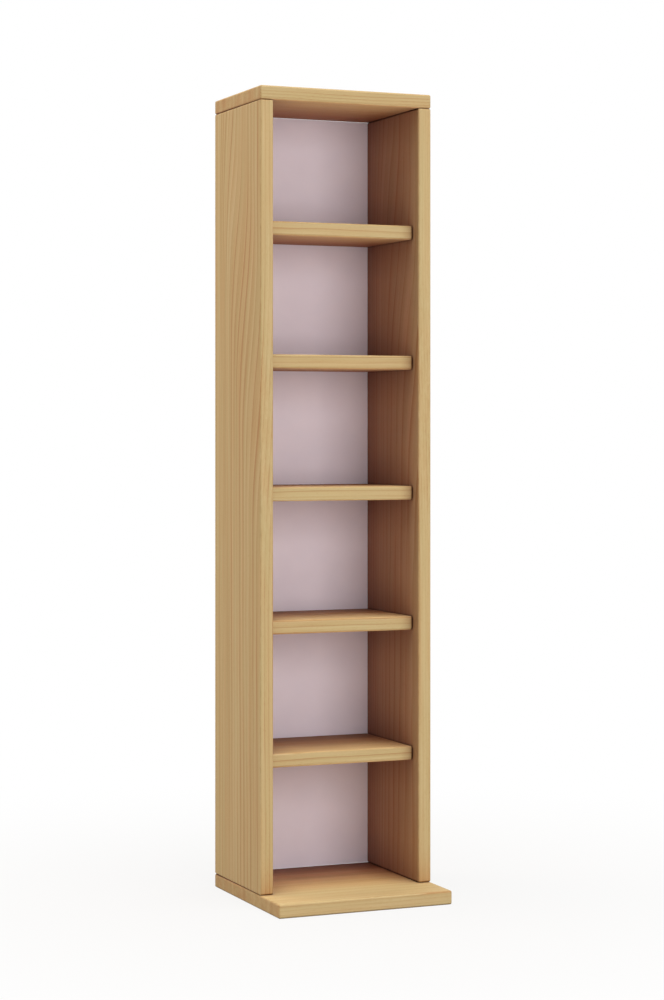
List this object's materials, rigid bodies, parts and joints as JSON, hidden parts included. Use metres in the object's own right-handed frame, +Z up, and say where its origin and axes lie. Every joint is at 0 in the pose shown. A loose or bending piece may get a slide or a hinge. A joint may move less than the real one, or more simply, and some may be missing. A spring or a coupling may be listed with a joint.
{
  "type": "disc storage tower",
  "caption": "Narrow open-fronted wooden tower with loose shelves on hidden wires and a base that reaches forward, for storing CD and DVD cases.",
  "frame": {"origin": "on the floor, under the middle of the base", "axes": "+Z up along the tower, the open front faces -Y, +X to the right seen from the front"},
  "size_m": [0.2, 0.193, 0.875],
  "materials": {
    "board": "light straight-grained board, matt lacquer, arrises rounded over",
    "back_hardboard": "thin hardboard, pale lilac-white lacquer on the inner face",
    "support_wire": "drawn steel wire, bright zinc plate",
    "dowel": "turned beech, bare",
    "screw": "zinc-plated steel",
    "panel_pin": "bright drawn steel",
    "screw_cap": "moulded polyethylene, wood coloured"
  },
  "bodies": {
    "carcass": {"base_panel": "board", "left_side_panel": "board", "right_side_panel": "board", "top_panel": "board", "back_panel": "back_hardboard", "shelf_1_left_wire": "support_wire", "shelf_1_right_wire": "support_wire", "shelf_2_left_wire": "support_wire", "shelf_2_right_wire": "support_wire", "shelf_3_left_wire": "support_wire", "shelf_3_right_wire": "support_wire", "shelf_4_left_wire": "support_wire", "shelf_4_right_wire": "support_wire", "shelf_5_left_wire": "support_wire", "shelf_5_right_wire": "support_wire", "base_dowels": "dowel", "top_dowels": "dowel", "base_screws": "screw", "top_screws": "screw", "top_screw_caps": "screw_cap", "back_panel_pins": "panel_pin"},
    "shelf_1": {"shelf_1": "board"},
    "shelf_2": {"shelf_2": "board"},
    "shelf_3": {"shelf_3": "board"},
    "shelf_4": {"shelf_4": "board"},
    "shelf_5": {"shelf_5": "board"}
  },
  "joints": [
    {"name": "shelf_1_slide", "type": "slide", "parent": "carcass", "child": "shelf_1", "axis": [0, -1, 0], "range_m": [0, 0.15]},
    {"name": "shelf_2_slide", "type": "slide", "parent": "carcass", "child": "shelf_2", "axis": [0, -1, 0], "range_m": [0, 0.15]},
    {"name": "shelf_3_slide", "type": "slide", "parent": "carcass", "child": "shelf_3", "axis": [0, -1, 0], "range_m": [0, 0.15]},
    {"name": "shelf_4_slide", "type": "slide", "parent": "carcass", "child": "shelf_4", "axis": [0, -1, 0], "range_m": [0, 0.15]},
    {"name": "shelf_5_slide", "type": "slide", "parent": "carcass", "child": "shelf_5", "axis": [0, -1, 0], "range_m": [0, 0.15]}
  ]
}
